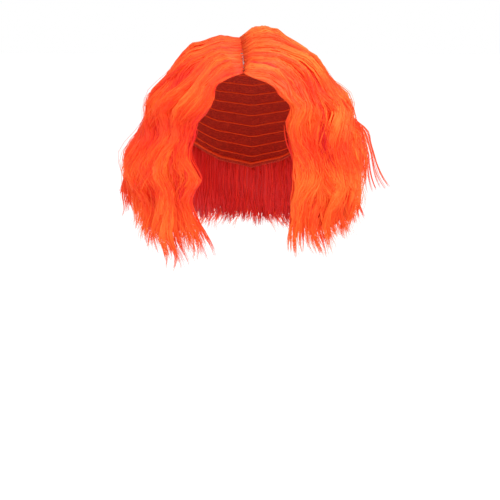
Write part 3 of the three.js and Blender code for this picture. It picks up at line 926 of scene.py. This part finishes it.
# One lock's strands. They gather into a few thinner locks, which end in points.
def lockStrands(side, layer, lock, random):
    sizes = strandSizes
    count, subs = lock["strands"], sizes.subLocks
    subPlaces = np.linspace(-sizes.subReach, sizes.subReach, subs)
    subPlaces = subPlaces + random.uniform(*sizes.subJitter, subs)
    subPhases = random.normal(0, sizes.subPhaseSpread, subs)
    subEnds = random.uniform(*sizes.subEnds, subs)
    subTones = random.uniform(-1, 1, subs) * sizes.subTone

    sub = random.integers(0, subs, count)
    offset = random.uniform(-1, 1, count)
    loose = ((random.random(count) < sizes.flyawayShare) & (not layer["inner"]))[:, None]
    start = random.uniform(*layer["starts"], count)
    end = lock["end"] + subEnds[sub] - sizes.pointedness * np.abs(offset) ** sizes.pointPower
    end = end - random.uniform(*sizes.strandEnds, count)
    end = np.clip(end + sizes.looseLength * loose[:, 0], start + sizes.shortest, 1)
    stations = sizes.innerStations if layer["inner"] else sizes.stations
    along = evenStations(side, np.full(count, curveThrough(lock["path"], 0.5)), start, end, stations)
    down = (along - start[:, None]) / (end - start)[:, None]

    rootSpread = lerp(sizes.rootSpread, 1, smooth(0, sizes.rootSpreadEnd, along))
    gather = gatherAt(sizes, down)
    place = subPlaces[sub][:, None] * gather * rootSpread
    tipGather = sizes.tipGather * smooth(sizes.tipGatherFrom, 1, down)
    subGather = 1 - tipGather * (1 - sizes.looseTips * loose)
    spread = offset[:, None] * subGather / subs * sizes.subFill
    across = curveThrough(lock["path"], along) + lock["half"] * (place + spread)
    across = np.clip(across, sizes.acrossLow, 1)

    # Roots leave the strip bare in front and cross over it further back
    closing = lerp(sizes.frontSlit, -sizes.rearOverlap, smooth(*sizes.slitEnds, across))
    roots = random.uniform(*sizes.rootHalf, count)[:, None] + closing
    wall = thicknessAt(outerAt(side, across, along, roots))
    body = np.minimum(wall / sizes.fullWall, 1)
    lens = sizes.lockBulge * np.sqrt(np.maximum(1 - (place + spread) ** 2, 0))
    subLens = sizes.subBulge * np.sqrt(1 - offset**2)[:, None] * subGather
    strandRise = random.uniform(*sizes.strandRise, count)[:, None]
    raised = (lens + subLens + lock["rise"] + strandRise) * body
    falls = np.where(random.random(count) < sizes.fallingShare, sizes.fallBack, 0)[:, None]
    arc = smooth(*sizes.liftReach, down) * (1 - falls * smooth(*sizes.fallReach, down))
    lift = (sizes.flyawayLift * random.uniform(*sizes.liftSpread, count))[:, None] * loose * arc
    if layer["inner"]:
        facing = -1
        depth = innerDepth(side, across, along) - sizes.innerSink + raised * sizes.innerRise
    else:
        facing = 1
        flat = np.minimum(layer["depth"], wall * sizes.deepest)
        depth = flat + sizes.lockBulge * body - raised - lift

    length = lengthAt(side, across, along)
    looseTurn = random.uniform(*sizes.looseTurn, count) * loose[:, 0]
    swing = (subPhases[sub] * sizes.crimpTurn + looseTurn)[:, None]
    crimp = sizes.crimp * np.sin(2 * np.pi * length / sizes.crimpLength + swing)
    crimp = crimp * (sizes.crimpStart + down) * body * np.where(loose, sizes.looseCrimp, 1)
    gain = lerp(sizes.gainStart, 1, smooth(*sizes.gainReach, along))
    phase = lock["phase"] + (subPhases[sub] + random.normal(0, sizes.strandPhaseSpread, count))[:, None]
    phase = phase + lock["phaseRun"] * (down - 0.5)
    paths, outwards, crest = hairPoint(side, across, along, depth, crimp, gain * lock["sway"],
                                       gain * sizes.swell, phase, roots)
    taper = taperAt(sizes, down)
    taper = taper * lerp(sizes.rootThin, 1, smooth(0, sizes.rootThinEnd, down))
    thin = random.uniform(*sizes.thickSpread, count)[:, None]
    thin = thin * np.where(loose, sizes.looseThin, 1) * taper
    tones = lock["tone"] + subTones[sub] + random.uniform(-1, 1, count) * sizes.strandTone
    lower = sizes.lowerTone * smooth(*sizes.lowerReach, along)
    # Tones rise where the waves swell outwards and fall where they sink: a painted highlight on the crests
    # and painted shade in the troughs
    tones = np.clip(tones[:, None] + sizes.crestPaintedLight * crest * body + lower, *toneLimits)
    return strandTubes(paths, outwards * facing, sizes.width * thin, sizes.height * thin, tones, along)


straySizes = SimpleNamespace(
    wisps=6,
    wispSpread=(0.3, 1.03),
    wispJitter=(-0.2, 0.2),
    wispEnds=0.1,
    ends=(0, 0.03),
    starts=(0, 0.06),
    gather=0.5,
    gatherFrom=0.5,
    depth=0.002,
    depthSpread=0.001,
    swellShare=0.5,
    wispPhase=0.35,
    strandPhase=0.1,
    taper=0.85,
    taperFrom=0.6,
    tone=(0.5, 0.1),
    thickSpread=(0.6, 1.4),
)


# A thin loose lock that comes away from the rest
def strayStrands(side, row, random):
    sizes = straySizes
    count, wisps = row["strands"], sizes.wisps
    wisp = random.integers(0, wisps, count)
    wispSpread = np.linspace(*sizes.wispSpread, wisps)[wisp][:, None]
    wispPlaces = random.uniform(-1, 1, wisps)[wisp]
    offset = wispPlaces + random.uniform(*sizes.wispJitter, count)
    first, last = row["away"][0][0], row["away"][-1][0]
    end = last - sizes.wispEnds * random.uniform(0, 1, wisps)[wisp] - random.uniform(*sizes.ends, count)
    start = first - random.uniform(*sizes.starts, count)
    middle = np.full(count, row["across"])
    along = evenStations(side, middle, start, end, strandSizes.stations)
    down = share(first, last, along)
    gather = gatherAt(sizes, down)
    across = middle[:, None] + offset[:, None] * row["half"] * gather
    away = curveThrough(row["away"], along) / mmPerMetre
    jitter = random.uniform(-1, 1, count)[:, None] * sizes.depthSpread
    depth = sizes.depth - away * wispSpread - jitter
    phase = random.normal(0, sizes.wispPhase, wisps)[wisp] + random.normal(0, sizes.strandPhase, count)
    paths, outwards, _ = hairPoint(side, across, along, depth, sway=row["sway"],
                                   swell=row["sway"] * sizes.swellShare, phase=phase[:, None])
    taper = taperAt(sizes, down)
    tones = chanceTones(sizes, along.shape, random)
    thin = row["thick"] * random.uniform(*sizes.thickSpread, count)[:, None] * taper
    widths = strandSizes.width * thin
    return strandTubes(paths, outwards, widths, strandSizes.height * thin, tones, along)


def placeOnRoot(obj, node, material):
    obj.data.materials.append(material)
    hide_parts(node)
    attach(obj, "root")


def makePanel(side, panel, seed, materials):
    random = np.random.default_rng(seed)
    node = f"hair_{panel['name']}_{side['name']}"
    backing = meshObject(f"{node}_backing", *backingPart(side, panel, random))
    placeOnRoot(backing, node, materials["backing"])
    parts = []
    for layer in layerRows:
        for lock in chanceLocks(side, panel, layer, random):
            parts.append(lockStrands(side, layer, lock, random))
    if panel["name"] == "front":
        for values in mainRows[side["name"]]:
            lock = {**dict(zip(mainColumns, values)), "phase": 0, "phaseRun": 0, "sway": mainLayer["sway"]}
            start = lock["path"][0][0]
            layer = {**mainLayer, "starts": (start, start + mainLayer["startSpread"])}
            parts.append(lockStrands(side, layer, lock, random))
    for row in strayRows:
        if row["side"] == side["name"] and panel["from"] < row["across"] < panel["to"]:
            parts.append(strayStrands(side, row, random))
    strands = meshObject(f"{node}_strands", *joined(parts))
    placeOnRoot(strands, node, materials["fibre"])
    print("panel", node, len(strands.data.polygons), "faces of strands")


# The under layer at the nape

napeSizes = SimpleNamespace(
    seed=70,
    rootRise=0.014,
    thickness=0.009,
    thinRoot=0.4,
    thinRootEnd=0.6,
    turn=74,
    locks=7,
    swayShare=0.3,
    tipDrop=0.895,
    columns=56,
    rows=24,
    hem=(0.68, 0.74),
    hemPoints=(0.08, 0.18),
    hemFrom=0.5,
    outerDepth=0.0018,
    innerGap=0.0005,
    hemThinning=0.7,
    strands=420,
    stations=15,
    starts=(0, 0.25),
    lockEnds=(0.88, 1),
    strandEnds=(0, 0.06),
    gather=0.5,
    gatherFrom=0.5,
    lockHalf=0.06,
    innerShare=0.6,
    strandDepth=0.0008,
    depthSpread=(-0.0006, 0.0006),
    lockBend=0.012,
    lockBends=9,
    strandBend=0.006,
    strandBends=16,
    width=0.0015,
    height=0.0008,
    taper=0.85,
    taperFrom=0.7,
    tone=(0.45, 0.16),
)


def napeWall(down):
    return napeSizes.thickness * lerp(napeSizes.thinRoot, 1, smooth(0, napeSizes.thinRootEnd, down))


def napeInnerFace(down):
    return napeWall(down) * lerp(1, napeSizes.hemThinning, down)


# A point of the under layer by its share from ear to ear, its share down and its depth inwards
def napePoint(across, down, depth):
    turn = np.pi + np.radians(lerp(-napeSizes.turn, napeSizes.turn, across))
    degrees = np.degrees(np.minimum(turn, 2 * np.pi - turn))
    root = napeSizes.rootRise - form.headRise * np.interp(degrees, capEdge["turn"], capEdge["drop"])
    tip = -form.hairLength * napeSizes.tipDrop
    level = np.sqrt(1 - ((root - centreZ) / (form.headRise + capOuter)) ** 2)
    phase = 2 * np.pi * down * (root - tip) / form.waveLength + across * napeSizes.locks
    out = capOuter + napeWall(down) - depth + form.waveSway * napeSizes.swayShare * down * np.sin(phase)
    x = (form.headHalfWidth * level + out) * np.sin(turn)
    y = -(form.headHalfLength * level + out) * np.cos(turn)
    outwards = np.stack([np.sin(turn), -np.cos(turn), np.zeros_like(turn)], -1)
    return np.stack([x, y, lerp(root, tip, down)], -1), outwards


def makeNape(materials):
    sizes = napeSizes
    random = np.random.default_rng(sizes.seed)
    columns = np.linspace(0, 1, sizes.columns + 1)
    pointed = np.arange(len(columns)) % 2 == 1
    hem = random.uniform(*sizes.hem, len(columns))
    hem = hem + pointed * random.uniform(*sizes.hemPoints, len(columns))
    rows = np.linspace(0, 1, sizes.rows + 1)[:, None]
    down = rows * lerp(sizes.hem[0], hem, smooth(sizes.hemFrom, 1, rows))
    across = np.broadcast_to(columns, down.shape)
    outer, _ = napePoint(across, down, sizes.outerDepth + 0 * down)
    inner, _ = napePoint(across, down, napeInnerFace(down) - sizes.innerGap)
    uvs = np.stack([lerp(*faceUv, columns) + 0 * down, down], -1)
    backing = meshObject("hair_nape_backing", *bodyBetween(outer, inner, uvs, uvs + innerUvShift))
    placeOnRoot(backing, "hair_nape", materials["underBacking"])

    count = sizes.strands
    locks = sizes.locks * 2
    lock = random.integers(0, locks, count)
    lockMiddle = (lock + 0.5) / locks
    offset = random.uniform(-1, 1, count)
    start = random.uniform(*sizes.starts, count)
    end = random.uniform(*sizes.lockEnds, locks)[lock] - random.uniform(*sizes.strandEnds, count)
    steps = np.linspace(0, 1, sizes.stations)
    down = lerp(start[:, None], end[:, None], steps)
    gather = gatherAt(sizes, steps)
    across = np.clip(lockMiddle[:, None] + offset[:, None] * gather * sizes.lockHalf, 0, 1)
    onInside = random.random(count) < sizes.innerShare
    depth = np.where(onInside[:, None], napeInnerFace(down), sizes.strandDepth)
    depth = depth + random.uniform(*sizes.depthSpread, count)[:, None]
    strandTurn = random.uniform(0, 2 * np.pi, count)[:, None]
    lockTurn = random.uniform(0, 2 * np.pi, locks)[lock][:, None]
    lockBend = sizes.lockBend * np.sin(down * sizes.lockBends + lockTurn)
    strandBend = sizes.strandBend * np.sin(down * sizes.strandBends + strandTurn)
    paths, outwards = napePoint(across + (lockBend + strandBend) * down, down, depth)
    facing = np.where(onInside, -1, 1)[:, None, None]
    taper = np.broadcast_to(taperAt(sizes, steps), down.shape)
    tones = chanceTones(sizes, down.shape, random)
    part = strandTubes(paths, outwards * facing, sizes.width * taper, sizes.height * taper, tones, down)
    strands = meshObject("hair_nape_strands", *part)
    placeOnRoot(strands, "hair_nape", materials["underFibre"])
    print("under layer made")


# The cap: a net shell, with stitched rows inside and a binding along its edge

capSizes = SimpleNamespace(
    segments=96,
    rings=64,
    cutLevel=-0.001,
    rows=13,
    rowFrom=0.2,
    rowTo=0.93,
    rowOpening=0.6,
    rowWidth=0.0026,
    rowHeight=0.0007,
    rowStations=56,
    bindingPlace=0.975,
    bindingWidth=0.006,
    bindingHeight=0.0009,
    tone=0.5,
    uvEnd=6,
)


def capEdgeAngle(phi):
    turn = np.degrees(np.arctan2(form.headHalfWidth * np.sin(phi), form.headHalfLength * np.cos(phi)))
    return np.arccos(1 - np.interp(np.abs(turn), capEdge["turn"], capEdge["drop"]))


def capPoint(phi, theta, extra):
    x = (form.headHalfWidth + extra) * np.sin(phi) * np.sin(theta)
    y = -(form.headHalfLength + extra) * np.cos(phi) * np.sin(theta)
    z = centreZ + (form.headRise + extra) * np.cos(theta)
    return np.stack([x, y, z], -1)


# Raised bands on the cap's inside, each at its share of the way from the crown to the edge
def bandsInside(places, opening, stations, width, height):
    phi = np.linspace(opening, 2 * np.pi - opening, stations) + 0 * places[:, None]
    theta = places[:, None] * capEdgeAngle(phi)
    paths = capPoint(phi, theta, 0)
    inwards = unit(np.array([0, 0, centreZ]) - paths)
    sizes = np.ones_like(phi)
    alongs = share(opening, capSizes.uvEnd, phi)
    return strandTubes(paths, inwards, width * sizes, height * sizes, capSizes.tone * sizes, alongs)


def makeCap(netMaterial, bandMaterial):
    sizes = capSizes
    bpy.ops.mesh.primitive_uv_sphere_add(segments=sizes.segments, ring_count=sizes.rings, radius=1)
    cap = bpy.context.object
    cap.name = "cap_net"
    bpy.ops.object.mode_set(mode="EDIT")
    bpy.ops.mesh.select_all(action="DESELECT")
    bpy.ops.object.mode_set(mode="OBJECT")
    for vertex in cap.data.vertices:
        vertex.select = vertex.co.z < sizes.cutLevel
    bpy.ops.object.mode_set(mode="EDIT")
    bpy.ops.mesh.delete(type="VERT")
    bpy.ops.object.mode_set(mode="OBJECT")
    places = placesOf(cap)
    phi = np.arctan2(places[:, 0], -places[:, 1])
    theta = np.arccos(np.clip(places[:, 2], -1, 1)) / (np.pi / 2) * capEdgeAngle(phi)
    formWall(cap, capPoint(phi, theta, 0), capWall, True)
    bpy.ops.object.shade_smooth()
    placeOnRoot(cap, "cap", netMaterial)

    rows = bandsInside(np.linspace(sizes.rowFrom, sizes.rowTo, sizes.rows), sizes.rowOpening,
                       sizes.rowStations, sizes.rowWidth, sizes.rowHeight)
    binding = bandsInside(np.array([sizes.bindingPlace]), 0, 2 * sizes.rowStations,
                          sizes.bindingWidth, sizes.bindingHeight)
    bands = meshObject("cap_bands", *joined([rows, binding]))
    placeOnRoot(bands, "cap", bandMaterial)
    print("cap made")


def netFinish():
    finish = Finish("cap_net", {"Roughness": 0.85, "Specular IOR Level": 0.2})
    place = finish.add("TexCoord", {}, {}, "Object")
    holes = finish.add("TexVoronoi", {"feature": "DISTANCE_TO_EDGE"},
                       {"Vector": place, "Scale": 500}, "Distance")
    hole = finish.add("MapRange", {}, {"Value": holes, "From Min": 0.04, "From Max": 0.2}, "Result")
    # Both colours are darker and redder than the net's own deep orange: painted shade of the wig's inside
    colour = finish.add("ValToRGB", {"stops": [(0, (0.6, 0.05, 0.02)), (1, (0.34, 0.02, 0.012))]},
                        {"Fac": hole}, "Color")
    bump = finish.add("Bump", {}, {"Height": 1 - hole, "Strength": 0.5, "Distance": 0.0004}, "Normal")
    finish.drive(Base_Color=colour, Normal=bump)
    return finish.material


# The parting strip, with the knots that tie the hair to it

stripSizes = SimpleNamespace(columns=6, rows=50)


def makeStrip(material):
    length = form.stripRearY - hairlineY
    bpy.ops.mesh.primitive_grid_add(x_subdivisions=stripSizes.columns,
                                    y_subdivisions=stripSizes.rows, size=1)
    strip = bpy.context.object
    strip.name = "parting_net"
    places = placesOf(strip)
    along = places[:, 1] + 0.5
    x = places[:, 0] * form.stripWidth - form.partingLean * along
    y = hairlineY + length * along
    z = centreZ + (form.headRise + capOuter) * np.sqrt(
        1 - (x / (form.headHalfWidth + capOuter)) ** 2 - (y / (form.headHalfLength + capOuter)) ** 2)
    formWall(strip, np.stack([x, y, z], -1), form.stripThickness, False)
    placeOnRoot(strip, "parting_strip", material)
    print("parting strip made")


def stripFinish():
    finish = Finish("parting_net", {"Roughness": 0.8, "Specular IOR Level": 0.2})
    place = finish.add("TexCoord", {}, {}, "Object")
    knots = finish.add("TexVoronoi", {"feature": "F1"}, {"Vector": place, "Scale": 700}, "Distance")
    colour = finish.add("ValToRGB", {"stops": [(0.2, (0.05, 0.02, 0.02)), (0.5, (0.3, 0.22, 0.21))]},
                        {"Fac": knots}, "Color")
    finish.drive(Base_Color=colour)
    return finish.material


makeCamera()
makeLights()
makeFloor()
hairMaterials = {
    "fibre": fibreFinish("hair_fibre", fibreSettings),
    "backing": fibreFinish("hair_backing", backingSettings),
    "underFibre": fibreFinish("under_hair_fibre", underSettings),
    "underBacking": fibreFinish("under_hair_backing", {**underSettings, "toneShare": 0, "toneBase": 0.35}),
}
for sideIndex, side in enumerate(sides):
    for panelIndex, panel in enumerate(panelRows):
        makePanel(side, panel, 10 * sideIndex + panelIndex, hairMaterials)
makeNape(hairMaterials)
makeCap(netFinish(), fibreFinish("cap_bands", bandSettings))
makeStrip(stripFinish())
